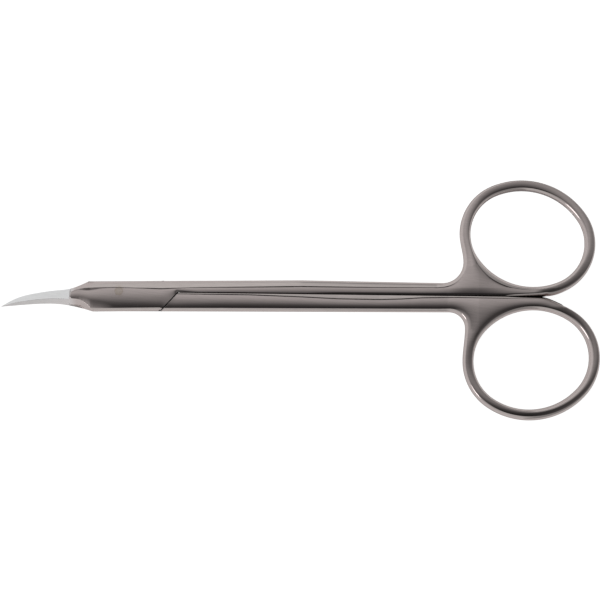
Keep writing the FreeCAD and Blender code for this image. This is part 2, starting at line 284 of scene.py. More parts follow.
# %% How high the metal stands
crown_slope, crown_lean, root_crown = 0.165, 0.026, 0.13
parting_drop = [(74, 0.0), (81, 1.0)]
lean_share = [(-9, 0.4), (-5, 0.7), (0, 0.5), (8, 0.4), (20, 1.0), (62, 1.0), (72, 0.0)]
crease_slope = 0.165
crease_ease = {"outer": 0.45, "lap": 0.30, "parting": 0.20, "opening": 0.20}
round_power, ring_crown, web_blend = 2.5, 0.5, 1.4
edge_names = ("outer", "lap", "parting", "opening")
recess_radius, recess_depth, recess_wall = 1.54, 0.42, 0.05
root_sink, root_sink_x, root_sink_length = 0.15, -1.0, 8.5
parting_spare = [(11, 0.0), (15, 0.8), (58, 0.8), (66, 0.5)]
thickness_at = [(16, joint_half_thickness), (56, shank_half_thickness),
                (63, shank_half_thickness), (69, ring_half_thickness)]
crown_height_at = [(10, 0.17), (20, 0.10), (63, 0.07), (69, 0.04)]
# Height left upright at each edge, by position along the instrument. The parting edges
# stay full and only round over where the rings part.
edge_height_at = {
    "outer": [(-5.9, 0.55), (-3.5, 0.40), (16, 0.40), (56, 0.18), (62, 0.18), (68, 0.0)],
    "lap": [(-5, 0.80), (-3.5, 0.40), (8, 0.40)],
    "parting": [(74, 1.0), (81, 0.0)],
    "opening": [(60, 0.0)],
}
# The blade's two ground faces: height at the edge and angle in degrees. Each ends in a
# plunge, behind which it only bevels the root's face along a drawn line.
cutting_land, cutting_angle, spine_land, spine_angle = 0.12, 25.0, 0.05, 38.0
# spine_shine: share of the pale ground colour on the spine's bevel, so it shows less painted
# sheen than the cutting bevel.
ridge_ease, ground_depth, spine_shine = 0.06, 0.03, 0.55
ground_fade = [(-9.6, 1.0), (-8.2, 0.0)]
plunge_x, plunge_length = -9.15, 0.45
root_fade, line_slope = [(-7.5, 1.0), (-1.0, 0.0)], [(-7.5, 0.10), (-6.0, 0.05)]
line_reach, line_ease = 0.20, 0.03
cutting_line = [(-9.6, -0.60), (-9.1, -0.10), (-8.4, 0.26), (-7.5, 0.58), (-6.6, 0.75),
                (-5.87, 0.80)]
spine_line = [(-9.6, -1.30), (-9.0, -1.44), (-8.2, -1.52), (-7.67, -1.62), (-6.9, -1.98),
              (-6.3, -2.40), (-5.9, -2.75), (-5.5, -3.10), (-5.0, -3.22)]
# Behind the plunge: position, height cleared over the face, angle in degrees
root_bevel = [(-9.6, 0.0, 46), (-7.5, 0.0, 46), (-5.9, 0.0, 40), (-5.2, 0.20, 38),
              (-4.5, 1.0, 38)]


def along(rows, x, column=1):
    rows = sorted(rows)
    return np.interp(x, [row[0] for row in rows], [row[column] for row in rows])


def nearest(points, path):
    """Distance from each point to a path, and the way the path faces there."""
    a, ab = path[:-1], np.diff(path, axis=0)
    length2 = (ab ** 2).sum(1)
    ways = -inward_of(path)
    corner = np.concatenate([ways[:1], ways[1:] + ways[:-1], ways[-1:]])
    corner /= np.linalg.norm(corner, axis=1)[:, None]
    found, facing = [], []
    for some in np.array_split(points, max(1, len(points) // 1500)):
        offset = some[:, None] - a
        share = np.clip((offset * ab).sum(2) / length2, 0, 1)
        away = ((offset - share[..., None] * ab) ** 2).sum(2)
        at = away.argmin(1)
        rows = np.arange(len(some))
        found.append(np.sqrt(away[rows, at]))
        part = share[rows, at][:, None]
        facing.append(corner[at] * (1 - part) + corner[at + 1] * part)
    return np.concatenate(found), np.concatenate(facing)


def band_width(half, name, x, facing):
    """Width of the softened band beside an edge."""
    if name == "opening":
        width = 0.72 - 0.18 * facing[:, 1] - 0.20 * facing[:, 0]
        on_web = np.clip(half["side"] * facing[:, 1] * 2.5 - 0.3, 0, 1)
        return width + (along(half["web_band"], x) - width) * on_web
    width = along(half[name + "_band"], x)
    if name == "outer":
        on_ring = along([(61, 0.0), (68, 1.0)], x)
        plain, by_y, by_x = half["ring_band"]
        width += ((plain + by_y * facing[:, 1] + by_x * facing[:, 0]) - width) * on_ring
    return width


def edge_at(path, x):
    """How high up the page an edge passes at each position."""
    order = np.argsort(path[:, 0])
    return np.interp(x, path[order, 0], path[order, 1])


def ground_face(edge, sign, land, angle, drawn_line, points, height):
    """Height of a blade's ground face above the lap plane."""
    x, y = points.T
    on_blade = land + math.tan(math.radians(angle)) * sign * (edge_at(edge, x) - y)
    slope = np.tan(np.radians(along(root_bevel, x, 2)))
    at_root = height + along(root_bevel, x) + slope * sign * (along(drawn_line, x) - y)
    share = np.clip((x - plunge_x) / plunge_length + 1, 0, 1)
    return on_blade + (at_root - on_blade) * share


def blade_sides(half):
    """The blade's upper edge and its lower one."""
    return [half["edges"][name] for name in ("cutting", "spine")][::half["side"]]


def lower_of(a, b, ease):
    """The lower of two heights, with the ridge between them eased."""
    h = np.clip(0.5 + 0.5 * (b - a) / ease, 0, 1)
    return b + (a - b) * h - ease * h * (1 - h)


def round_over(share):
    """Drop of a round-over, from 0 where it starts to 1 at the edge."""
    return 1 - (1 - share ** round_power) ** (1 / round_power)


def measured(half, points):
    """Distance to every edge and the way each edge faces."""
    return {name: nearest(points, path) for name, path in half["edges"].items()}


def surface_height(half, points, near=None, ground=False):
    """Height of the outer face above the lap plane, or where the blade is ground."""
    near = near or measured(half, points)
    x = points[:, 0]
    spare, lost = [], np.zeros(len(points))
    full = along(thickness_at, x) - along(crown_height_at, x)
    full -= root_sink * np.clip((root_sink_x - x) / root_sink_length, 0, 1) ** 2
    for name in edge_names:
        distance, facing = near[name]
        width = band_width(half, name, x, facing)
        spare.append(distance - width)
        if name == "parting" and half["side"] > 0:
            spare[-1] = spare[-1] + along(parting_spare, x)
        into = np.clip(width - distance, 0, width)
        crease = crease_slope * along([(65, 1.0), (70, 0.35 if name == "outer" else 1.0)], x)
        if name == "opening":
            crease = crease_slope * (0.35 + 0.65 * np.maximum(facing[:, 1], 0))
        if name == "parting" and half["side"] > 0:
            crease = crease_slope * along([(36, 0.0), (42, 0.6)], x)
        ease = crease_ease[name]
        eased = crease * into ** 2 / (into + ease)
        at_edge = crease * width ** 2 / (width + ease)
        drop = full - crown_slope * width - at_edge - along(edge_height_at[name], x)
        if name == "parting":
            drop = drop * along(parting_drop, x)
        lost += eased + np.maximum(drop, 0.0) * round_over(np.clip(into / width, 0, 1))
    spare = np.array(spare)
    core = 1 / (1 / np.maximum(spare, 1e-4)).sum(0)
    crown = np.where(spare.min(0) > 0, core, spare.min(0))
    # The rings' walls are flatter than the broad faces and lean more to one side
    (outer, facing), (opening, _) = near["outer"], near["opening"]
    on_ring = np.clip(1 - (outer + opening - ring_wall) / web_blend, 0, 1)
    height = full + crown_slope * (1 - (1 - ring_crown) * on_ring) * crown - lost
    across = np.clip((outer - opening) / 2, -ring_wall / 2, ring_wall / 2)
    down, left, right = half["ring_lean"]
    tilt = -across * (facing[:, 1] * down + np.maximum(-facing[:, 0], 0) * left
                      + np.maximum(facing[:, 0], 0) * right)
    level = crown_lean * (points[:, 1] + 1.0) * along(lean_share, x)
    height += tilt * on_ring + level * (1 - on_ring)
    upper, lower = blade_sides(half)
    top, bottom = along(cutting_line, x), along(spine_line, x)
    middle, reach = (top + bottom) / 2, (top - bottom) / 2
    at_root = along(root_fade, x)
    at_root = at_root ** 2 * (3 - 2 * at_root)
    height -= at_root * root_crown * (points[:, 1] - middle) ** 2 / (2 * reach)
    near_line = np.clip(line_reach - (top - points[:, 1]), 0, None)
    height -= along(line_slope, x) * near_line ** 2 / (near_line + line_ease)
    cut = ground_face(upper, 1, cutting_land, cutting_angle, cutting_line, points, height)
    back = ground_face(lower, -1, spine_land, spine_angle, spine_line, points, height)
    ground_height = lower_of(lower_of(height, cut, ridge_ease), back, ridge_ease)
    if ground:
        share = np.clip((height - ground_height) / ground_depth, 0, 1)
        return share * np.where(back < cut, spine_shine, 1.0) * along(ground_fade, x)
    height = np.where(x < 0, ground_height, height)
    if half["side"] < 0:
        from_pivot = np.hypot(points[:, 0], points[:, 1])
        height -= recess_depth * np.clip((recess_radius - from_pivot) / recess_wall, 0, 1)
    return np.maximum(height, 0.0)


# %% [markdown]
# The sheet that carries this surface needs rows of points along every edge and crease,
# and an even spread between them. An operator's fill gives long slivers that a polished
# face shows at once, so the points are placed here and joined as a Delaunay mesh.

# %% Points of a face
edge_rows = [0.015, 0.05, 0.10, 0.17, 0.26]
crease_rows = [-0.60, -0.45, -0.35, -0.28, -0.22, -0.17, -0.13, -0.10, -0.07, -0.04, -0.02,
               0.0, 0.05, 0.12, 0.25]
recess_rows = [-0.3, -0.09, -0.055, -0.045, -0.03, -0.01, 0.0, 0.008, 0.05, 0.2]
line_rows = [-0.22, -0.12, -0.06, -0.02, 0.02, 0.05, 0.08, 0.11, 0.15, 0.22]
fill_steps = [(-30.0, -9.7, 0.16), (-9.7, -9.0, 0.07), (-9.0, -4.0, 0.14),
              (-4.0, 100.0, 0.30)]


def inside(points, loop):
    a, b = loop[:-1], loop[1:]
    found = []
    for some in np.array_split(points, max(1, len(points) // 2000)):
        x, y = some[:, 0, None], some[:, 1, None]
        spans = (a[:, 1] > y) != (b[:, 1] > y)
        rise = np.where(a[:, 1] == b[:, 1], 1.0, b[:, 1] - a[:, 1])
        cross = x < (b[:, 0] - a[:, 0]) * (y - a[:, 1]) / rise + a[:, 0]
        found.append((spans & cross).sum(1) % 2 == 1)
    return np.concatenate(found)


def in_metal(half, points):
    return inside(points, half["outline"]) & ~inside(points, half["opening"])


def clearances(half, points):
    return {name: nearest(points, path)[0] for name, path in half["edges"].items()}


def offset_rows(path, depths):
    """Rows of points at given depths to the left of a path."""
    ways = inward_of(path)
    ways = np.concatenate([ways[:1], ways[1:] + ways[:-1], ways[-1:]])
    ways /= np.linalg.norm(ways, axis=1)[:, None]
    return [path + ways * (depth if np.ndim(depth) == 0 else depth[:, None])
            for depth in depths]


def thinned(points, cell):
    """One point for each small cell."""
    _, first = np.unique(np.round(points / cell).astype(int), axis=0, return_index=True)
    return points[np.sort(first)]


def crease_points(half):
    """Rows along the blade's ridge and along the lines where its root is bevelled."""
    x = np.arange(tip[0] + 0.7, -9.5, 0.12)
    high, low = (edge_at(path, x) for path in blade_sides(half))
    spine_slope, cut_slope = (math.tan(math.radians(a)) for a in (spine_angle, cutting_angle))
    ridge_y = cutting_land - spine_land + spine_slope * low + cut_slope * high
    ridge = np.stack([x, ridge_y / (spine_slope + cut_slope)], 1)
    rows = [thinned(np.concatenate(offset_rows(ridge, [-0.12, -0.05, 0, 0.05, 0.12])), 0.02)]
    for drawn, sign in ((cutting_line, -1), (spine_line, 1)):
        x = np.arange(-9.3, -4.4, 0.10)
        rows += offset_rows(np.stack([x, along(drawn, x)], 1), [sign * d for d in line_rows])
    return np.concatenate(rows)


def scattered_points(half):
    """Rows beside every edge and crease, and an even fill in between."""
    kept = []
    for name, path in half["edges"].items():
        if name in edge_names:
            facing = -inward_of(path)
            facing = np.concatenate([facing, facing[-1:]])
            width = band_width(half, name, path[:, 0], facing)
            depths = list(edge_rows) + [np.maximum(width + row, 0.0) for row in crease_rows]
        else:
            depths = edge_rows[:3]
        for depth, row in zip(depths, offset_rows(path, depths)):
            wanted = np.broadcast_to(depth, len(row))
            here = (wanted > 0.01) & in_metal(half, row)
            if not here.any():
                continue
            row, wanted = row[here], wanted[here]
            near = clearances(half, row)
            own = near.pop(name)
            others = np.min(list(near.values()), axis=0)
            keep = (own > wanted * 0.97) & (others > np.minimum(wanted, 0.3) * 0.9)
            kept.append(row[keep & (others > 0.012)])
    creases = crease_points(half)
    if half["side"] < 0:
        circles = [arc((0, 0), recess_radius + grow, 0, 2 * math.pi, 0.09)
                   for grow in recess_rows]
        creases = np.concatenate([creases] + circles)
    creases = creases[in_metal(half, creases)]
    kept.append(creases[np.min(list(clearances(half, creases).values()), axis=0) > 0.03])
    kept = thinned(np.concatenate(kept), 0.018)
    low, high = half["outline"].min(0), half["outline"].max(0)
    fills = []
    for start, end, step in fill_steps:
        xs = np.arange(max(low[0], start), min(high[0], end), step)
        ys = np.arange(low[1], high[1], step * 0.866)
        grid = np.stack(np.meshgrid(xs, ys, indexing="ij"), -1)
        grid[:, 1::2, 0] += step / 2
        grid = grid.reshape(-1, 2)
        grid = grid[in_metal(half, grid)]
        clear = np.min(list(clearances(half, grid).values()), axis=0)
        grid = grid[clear > min(0.12, step * 0.6)]
        crowded = np.full(len(grid), np.inf)
        for some in np.array_split(kept, max(1, len(kept) // 400)):
            near_x = (grid[:, 0] > some[:, 0].min() - 1) & (grid[:, 0] < some[:, 0].max() + 1)
            if near_x.any():
                gap = ((grid[near_x][:, None] - some) ** 2).sum(2).min(1)
                crowded[near_x] = np.minimum(crowded[near_x], gap)
        fills.append(grid[crowded > (step * 0.5) ** 2])
    return np.concatenate([kept] + fills)


# %% Triangles of a face


def step_line(half):
    """Where the lapped joint ends on this half, from the parting line to its own edge."""
    side = half["side"]
    end_x = shoulder_back_x if side > 0 else shoulder_front_x
    end_y = joint_upper_y if side > 0 else joint_lower_y
    away = np.array([shoulder_gap / 2, 0])
    start = parting_line(shoulder_x) + away
    end = np.array([end_x, end_y]) + away
    meet = side * parting_gap / 2 / abs(end[1] - start[1])
    return start + (end - start) * abs(meet), end


def joined_points(half):
    """The outline as a loop that passes through both ends of the step line."""
    outline = half["outline"]
    outline = outline[:-1] if np.allclose(*outline[[0, -1]]) else outline
    step_start, step_end = step_line(half)
    loop = list(outline)
    for target in (step_start, step_end):
        gaps = []
        for i, a in enumerate(loop):
            b = loop[(i + 1) % len(loop)]
            share = np.clip(np.dot(target - a, b - a) / max(np.dot(b - a, b - a), 1e-12), 0, 1)
            gaps.append(np.linalg.norm(a + (b - a) * share - target))
        loop.insert(int(np.argmin(gaps)) + 1, target)
    return np.array(loop), step_start, step_end


def make_sheet(half):
    """Flat sheet: its points, triangles, the loops of its edges and the step's points."""
    loop, step_start, step_end = joined_points(half)
    hole = half["opening"][:-1]
    step = line(step_start, step_end, 0.2)[1:-1]
    spread = scattered_points(half)
    spread = spread[nearest(spread, np.array([step_start, step_end]))[0] > 0.03]
    points = np.concatenate([loop, hole, step, spread])
    n_loop, n_hole, n_step = len(loop), len(hole), len(step)
    ring = lambda start, count: [(start + i, start + (i + 1) % count) for i in range(count)]
    first = int(np.argmin(np.linalg.norm(loop - step_start, axis=1)))
    last = int(np.argmin(np.linalg.norm(loop - step_end, axis=1)))
    chain = [first] + list(range(n_loop + n_hole, n_loop + n_hole + n_step)) + [last]
    edges = ring(0, n_loop) + ring(n_loop, n_hole) + list(zip(chain, chain[1:]))
    found = delaunay_2d_cdt([Vector(p) for p in points], edges, [], 0, 1e-7)
    spots = np.array([tuple(p) for p in found[0]])
    back = {old: new for new, olds in enumerate(found[3]) for old in olds}
    triangles = np.array([face for face in found[2] if len(face) == 3])
    triangles = triangles[in_metal(half, spots[triangles].mean(1))]
    sides = spots[triangles[:, 1:]] - spots[triangles[:, :1]]
    turned = sides[:, 0, 0] * sides[:, 1, 1] < sides[:, 0, 1] * sides[:, 1, 0]
    triangles[turned] = triangles[turned][:, ::-1]
    rings = [[back[i] for i in range(n_loop)], [back[n_loop + i] for i in range(n_hole)]]
    return spots, triangles, rings, [back[i] for i in chain]


# %% [markdown]
# A half is two such sheets: its outer face, and its inner side, which is the same
# surface turned over beyond the shoulder and the flat lap on the blade's side of it.
# Walls close the edges, the finger opening and the step of the joint. Where the closed
# halves meet, the front's wall swells above the lap plane and the rear's below it, so
# that one can't see through the seam. Its walls and a thin strip beside it carry
# painted shade, near black, which makes the seam a dark groove. The normals come from
# the height function itself, because a mirror finish shows the slightest facet.

# %% Build the two halves


def select_only(piece):
    bpy.ops.object.select_all(action="DESELECT")
    bpy.context.view_layer.objects.active = piece
    piece.select_set(True)


# seam_edge and seam_fade set how far the painted shade beside the seams reaches and fades.
seam_swell, seam_edge, seam_fade = 0.13, 0.04, 0.03
edge_clear, normal_step, smooth_angle = 0.016, 0.006, math.radians(35)


def surface_normals(half, spots):
    near = measured(half, spots)
    clear = np.array([distance for distance, facing in near.values()])
    ways = np.array([facing for distance, facing in near.values()])
    rows = np.arange(len(spots))
    closest = clear.argmin(0)
    depth = np.maximum(edge_clear - clear[closest, rows], 0)[:, None]
    at = spots - ways[closest, rows] * depth
    near, slopes = measured(half, at), []
    for way in (np.array([normal_step, 0]), np.array([0, normal_step])):
        heights = []
        for sign in (1, -1):
            moved = {name: (distance - facing @ way * sign, facing)
                     for name, (distance, facing) in near.items()}
            heights.append(surface_height(half, at + way * sign, moved))
        slopes.append((heights[0] - heights[1]) / (2 * normal_step))
    normals = np.stack([-slopes[0], -slopes[1], np.ones(len(spots))], 1)
    return normals / np.linalg.norm(normals, axis=1)[:, None]


def swelling(half, points):
    """How far the wall swells at each point of the outline, and which way it faces."""
    amount, ways = np.zeros(len(points)), np.zeros((len(points), 2))
    for name in ("parting", "shoulder"):
        path = half["edges"][name]
        distance, facing = nearest(points, path)
        ends = np.minimum(np.linalg.norm(points - path[0], axis=1),
                          np.linalg.norm(points - path[-1], axis=1))
        corner = half["edges"]["shoulder"][-1 if half["side"] > 0 else 0]
        ends = np.where(np.linalg.norm(points - corner, axis=1) < 0.4, 1.0, ends)
        here = distance < 1e-4
        amount[here] = seam_swell * np.clip(ends[here] / 0.5, 0, 1)
        ways[here] += facing[here]
    ways /= np.maximum(np.linalg.norm(ways, axis=1), 1e-9)[:, None]
    return amount, ways


def turn_out_and_smooth(angle):
    bpy.ops.mesh.select_all(action="SELECT")
    bpy.ops.mesh.normals_make_consistent(inside=False)
    bpy.ops.object.mode_set(mode="OBJECT")
    bpy.ops.object.shade_smooth_by_angle(angle=angle)


def corner_normals(mesh):
    """Normals of a mesh's corners, and the vertex that each corner is at."""
    normals = np.zeros((len(mesh.loops), 3), np.float32)
    mesh.corner_normals.foreach_get("vector", normals.ravel())
    at = np.zeros(len(mesh.loops), np.int32)
    mesh.loops.foreach_get("vertex_index", at)
    return normals, at


def make_half(half, name):
    spots, triangles, rings, chain = make_sheet(half)
    side, count = half["side"], len(spots)
    near = measured(half, spots)
    height = np.maximum(surface_height(half, spots, near), lap_gap / 2 + 0.02)
    ground = surface_height(half, spots, near, ground=True)
    start, end = spots[chain[0]], spots[chain[-1]]
    normal = np.array([end[1] - start[1], start[0] - end[0]])
    normal *= -1 if normal[0] > 0 else 1
    lapped = ((spots[triangles].mean(1) - start) @ normal) > 0
    outer = np.column_stack([spots, side * height])
    inner = np.column_stack([spots, -side * height])
    lap = np.column_stack([spots, np.full(count, side * lap_gap / 2)])
    # The swollen rows of the seams, all on the outer side of the lap plane
    amount, ways = swelling(half, spots)
    swollen = spots + ways * amount[:, None]
    in_lap = np.zeros(count, bool)
    in_lap[triangles[lapped].ravel()] = True
    base = np.where(in_lap, lap_gap / 2, -height)
    rows = [np.column_stack([spot, side * (base + (height - base) * share)])
            for spot, share in ((spots, 0.985), (swollen, 0.80), (swollen, 0.60),
                                (spots, 0.53))]
    vertices = np.concatenate([outer, inner, lap] + rows) + [0, 0, lap_plane]
    sheets = [triangles, triangles[~lapped][:, ::-1] + count,
              triangles[lapped][:, ::-1] + 2 * count]
    walls, on_step = [], set(chain)
    for ring in rings:
        for i, j in zip(ring, ring[1:] + ring[:1]):
            to_lap = in_lap[i] and in_lap[j] and not (i in on_step and j in on_step)
            levels = [0, 2 if to_lap else 1]
            if amount[i] > 0 or amount[j] > 0:
                levels[1:1] = [3, 4, 5, 6]
            walls += [(i + a * count, i + b * count, j + b * count, j + a * count)
                      for a, b in zip(levels, levels[1:])]
    walls += [(i + count, i + 2 * count, j + 2 * count, j + count)
              for i, j in zip(chain, chain[1:])]
    corners = np.concatenate([np.concatenate(sheets).ravel(), np.array(walls).ravel()])
    used, corners = np.unique(corners, return_inverse=True)
    n_sheet = sum(len(sheet) for sheet in sheets)
    polygons = corners[:3 * n_sheet].reshape(-1, 3).tolist()
    polygons += corners[3 * n_sheet:].reshape(-1, 4).tolist()
    mesh = bpy.data.meshes.new(name)
    mesh.from_pydata((vertices[used] * MM).tolist(), [], polygons)
    # Painted shade: a thin strip along the front's parting edge and along both shoulders, and
    # every swollen seam wall, are marked to be painted near black.
    reach = {"parting": seam_edge * (side > 0), "shoulder": seam_edge / 2}
    seam_shade_share = np.maximum(*[np.clip((reach[edge] - near[edge][0]) / seam_fade, 0, 1)
                           for edge in reach])
    masks = {"ground": np.tile(ground, 7), "lapped": np.repeat([0, 0, 1, 0, 0, 0, 0], count),
             "seam": np.concatenate([seam_shade_share, np.repeat([0, 0, 1, 1, 1, 1], count)])}
    masks["ground"][2 * count:3 * count] = 0
    for mask, values in masks.items():
        layer = mesh.attributes.new(mask, "FLOAT", "POINT")
        layer.data.foreach_set("value", values[used].astype(np.float32))
    piece = bpy.data.objects.new(name, mesh)
    scene.collection.objects.link(piece)
    select_only(piece)
    bpy.ops.object.mode_set(mode="EDIT")
    turn_out_and_smooth(smooth_angle)
    # Exact normals on the two curved sheets
    outward = surface_normals(half, spots) * [1, 1, side]
    turned = outward * [1, 1, -1]
    exact = np.concatenate([outward, turned, np.tile([0.0, 0, -side], (count, 1)),
                            np.zeros((4 * count, 3))])[used]
    normals, at = corner_normals(mesh)
    normals[:3 * n_sheet] = exact[at[:3 * n_sheet]]
    mesh.normals_split_custom_set(normals.tolist())
    print(name, len(mesh.vertices), "vertices", len(mesh.polygons), "faces")
    return piece


front_piece = make_half(front, "front_half_polished")
rear_piece = make_half(rear, "rear_half_polished")
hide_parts("front_half")
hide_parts("rear_half")
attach(front_piece, "front")
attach(rear_piece, "rear")

# %% [markdown]
# The joint screw is turned: a slotted head sunk in the back, and on the front only its
# end, ground flush with the face and polished with it. The end follows the face's own
# height, so that it shows as no more than a faint round spot.

# %% The pivot screw's head
head_radius, head_height, slot_width, slot_depth = 1.46, 0.34, 0.38, 0.24
spot_radius = 0.79
head_low = lap_plane - surface_height(rear, np.array([[0.0, 1.8]]))[0] + 0.03
bpy.ops.object.select_all(action="DESELECT")
bpy.ops.mesh.primitive_cylinder_add(vertices=128, radius=head_radius * MM,
                                    depth=head_height * MM,
                                    location=(0, 0, (head_low + head_height / 2) * MM))
screw_head = bpy.context.object
screw_head.name = "pivot_screw_head"
bpy.ops.object.transform_apply(location=True, rotation=False, scale=True)
bpy.ops.mesh.primitive_cube_add(size=1, location=(0, 0, head_low * MM))
slot_tool = bpy.context.object
slot_tool.scale = (5 * MM, slot_width * MM, 2 * slot_depth * MM)
bpy.ops.object.transform_apply(location=True, rotation=False, scale=True)
select_only(screw_head)
slot_cut = screw_head.modifiers.new("slot", "BOOLEAN")
slot_cut.operation, slot_cut.object, slot_cut.solver = "DIFFERENCE", slot_tool, "EXACT"
bpy.ops.object.modifier_apply(modifier="slot")
bpy.data.objects.remove(slot_tool)
edge_bevel = screw_head.modifiers.new("edges", "BEVEL")
edge_bevel.width, edge_bevel.segments = 0.045 * MM, 3
edge_bevel.limit_method, edge_bevel.angle_limit = "ANGLE", math.radians(40)
bpy.ops.object.modifier_apply(modifier="edges")
bpy.ops.object.shade_smooth_by_angle(angle=math.radians(30))
print("screw head", len(screw_head.data.polygons), "faces, lowest at", round(head_low, 3), "mm")

# %% The screw's flush end
rings, turns = 16, 72
radii = np.linspace(0, 1, rings + 1)[1:] ** 0.7 * spot_radius
angles = np.linspace(0, 2 * math.pi, turns, endpoint=False)
spots = np.array([(0.0, 0.0)] + [(r * math.cos(a), r * math.sin(a)) for r in radii
                                 for a in angles])
proud = np.concatenate([[0.006]] + [np.full(turns, 0.006 if i < rings - 1 else -0.03)
                                    for i in range(rings)])
heights = lap_plane + surface_height(front, spots) + proud
polygons = [(0, 1 + i, 1 + (i + 1) % turns) for i in range(turns)]
for i in range(rings - 1):
    here, there = 1 + i * turns, 1 + (i + 1) * turns
    polygons += [(here + j, there + j, there + (j + 1) % turns, here + (j + 1) % turns)
                 for j in range(turns)]
mesh = bpy.data.meshes.new("pivot_screw_end")
mesh.from_pydata((np.column_stack([spots, heights]) * MM).tolist(), [], polygons)
screw_end = bpy.data.objects.new("pivot_screw_end", mesh)
scene.collection.objects.link(screw_end)
select_only(screw_end)
bpy.ops.object.mode_set(mode="EDIT")
bpy.ops.mesh.select_all(action="DESELECT")
bpy.ops.mesh.select_mode(type="EDGE")
bpy.ops.mesh.select_non_manifold()
bpy.ops.mesh.extrude_region_move(TRANSFORM_OT_translate={"value": (0, 0, -0.3 * MM)})
bpy.ops.mesh.edge_face_add()
turn_out_and_smooth(math.radians(30))
exact = surface_normals(front, spots)
normals, at = corner_normals(mesh)
for polygon in mesh.polygons:
    for index in polygon.loop_indices:
        if at[index] < 1 + turns * (rings - 1) and abs(polygon.normal.z) > 0.5:
            normals[index] = exact[at[index]]
mesh.normals_split_custom_set(normals.tolist())
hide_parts("pivot_screw")
for piece in (screw_head, screw_end):
    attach(piece, "front")

# %% [markdown]
# The steel has worn, hand-made detail. Shared effects are node groups that only give
# out values: fine polishing lines with a soft mottle, and the stain about the screw.
# Masks on the mesh tell the blade's ground bevels, the flat inner faces and the seams
# from the polished outside. The seams' mask paints their walls near black, as painted
# shade.

# %% Node helpers and shared effects


def add(tree, kind, inputs=None, **settings):
    node = tree.nodes.new(kind)
    for name, value in settings.items():
        setattr(node, name, value)
    for key, value in (inputs or {}).items():
        if isinstance(value, bpy.types.NodeSocket):
            tree.links.new(value, node.inputs[key])
        else:
            node.inputs[key].default_value = value
    return node


def calculate(tree, operation, a, b=0.0, clamp=False):
    return add(tree, "ShaderNodeMath", {0: a, 1: b}, operation=operation,
               use_clamp=clamp).outputs[0]


def remap(tree, value, low, high, to_low=0.0, to_high=1.0):
    return add(tree, "ShaderNodeMapRange", {"Value": value, "From Min": low, "From Max": high,
                                            "To Min": to_low, "To Max": to_high}).outputs[0]


def blend(tree, share, a, b, kind="MIX"):
    return add(tree, "ShaderNodeMix", {"Factor": share, 6: a, 7: b}, data_type="RGBA",
               blend_type=kind).outputs[2]


def new_group(name, inputs, outputs):
    tree = bpy.data.node_groups.new(name, "ShaderNodeTree")
    for label, kind, value in inputs:
        socket = tree.interface.new_socket(label, in_out="INPUT", socket_type=kind)
        if value is not None:
            socket.default_value = value
    for label, kind in outputs:
        tree.interface.new_socket(label, in_out="OUTPUT", socket_type=kind)
    return tree, tree.nodes.new("NodeGroupInput").outputs, tree.nodes.new("NodeGroupOutput")


def use_group(tree, group, inputs):
    return add(tree, "ShaderNodeGroup", inputs, node_tree=group)


# Fine scratches along one direction, as heights, and where they are dense
lines_group, given, result = new_group(
    "polishing_lines",
    [("Vector", "NodeSocketVector", None), ("Across", "NodeSocketFloat", 9000.0),
     ("Along", "NodeSocketFloat", 160.0), ("Turn", "NodeSocketFloat", 0.0)],
    [("Height", "NodeSocketFloat"), ("Patch", "NodeSocketFloat")])
turned_vector = add(lines_group, "ShaderNodeVectorRotate",
                    {"Vector": given["Vector"], "Angle": given["Turn"]}, rotation_type="Z_AXIS")
stretch = add(lines_group, "ShaderNodeCombineXYZ", {"X": given["Along"], "Y": given["Across"],
                                                    "Z": given["Across"]})
stretched = add(lines_group, "ShaderNodeVectorMath",
                {0: turned_vector.outputs[0], 1: stretch.outputs[0]}, operation="MULTIPLY")
scratch = add(lines_group, "ShaderNodeTexNoise",
              {"Vector": stretched.outputs[0], "Scale": 1.0, "Detail": 4.0, "Roughness": 0.65})
patch = add(lines_group, "ShaderNodeTexNoise",
            {"Vector": given["Vector"], "Scale": 260.0, "Detail": 3.0})
lines_group.links.new(scratch.outputs[0], result.inputs["Height"])
lines_group.links.new(remap(lines_group, patch.outputs[0], 0.35, 0.65), result.inputs["Patch"])

# Brown stain that gathers about the pivot
stain_group, given, result = new_group(
    "pivot_stain",
    [("Vector", "NodeSocketVector", None), ("Radius", "NodeSocketFloat", 0.0008),
     ("Spread", "NodeSocketFloat", 0.0006)],
    [("Stain", "NodeSocketFloat"), ("Seam", "NodeSocketFloat")])
flat_vector = add(stain_group, "ShaderNodeVectorMath",
                  {0: given["Vector"], 1: (1.0, 1.0, 0.0)}, operation="MULTIPLY")
from_axis = add(stain_group, "ShaderNodeVectorMath", {0: flat_vector.outputs[0]},
                operation="LENGTH").outputs["Value"]
off_rim = calculate(stain_group, "ABSOLUTE",
                    calculate(stain_group, "SUBTRACT", from_axis, given["Radius"]))
near_rim = calculate(stain_group, "SUBTRACT", 1.0,
                     calculate(stain_group, "DIVIDE", off_rim, given["Spread"]), clamp=True)
blotch = add(stain_group, "ShaderNodeTexNoise",
             {"Vector": given["Vector"], "Scale": 1500.0, "Detail": 3.0}).outputs[0]
stained = calculate(stain_group, "MULTIPLY", near_rim, remap(stain_group, blotch, 0.35, 0.7))
seam_line = remap(stain_group, off_rim, 0.00002, 0.00006, 1.0, 0.0)
stain_group.links.new(stained, result.inputs["Stain"])
stain_group.links.new(seam_line, result.inputs["Seam"])

# %% Steel materials


def new_material(name):
    material = bpy.data.materials.new(name)
    material.use_nodes = True
    material.node_tree.nodes.clear()
    return material, material.node_tree


def mask(tree, name):
    return add(tree, "ShaderNodeAttribute", attribute_name=name).outputs["Fac"]


polished_colour = (0.615, 0.541, 0.527, 1)
# The ground bevels and inner faces: partly their duller ground finish, partly painted sheen
# that makes them paler than the steel reflects.
ground_tone_and_sheen_colour = (0.930, 0.915, 0.925, 1)
# Near black of the painted seam shade, also used for the faint dark line round the screw's end.
seam_shade_and_rim_colour = (0.022, 0.019, 0.017, 1)
stain_colour = (0.46, 0.36, 0.28, 1)


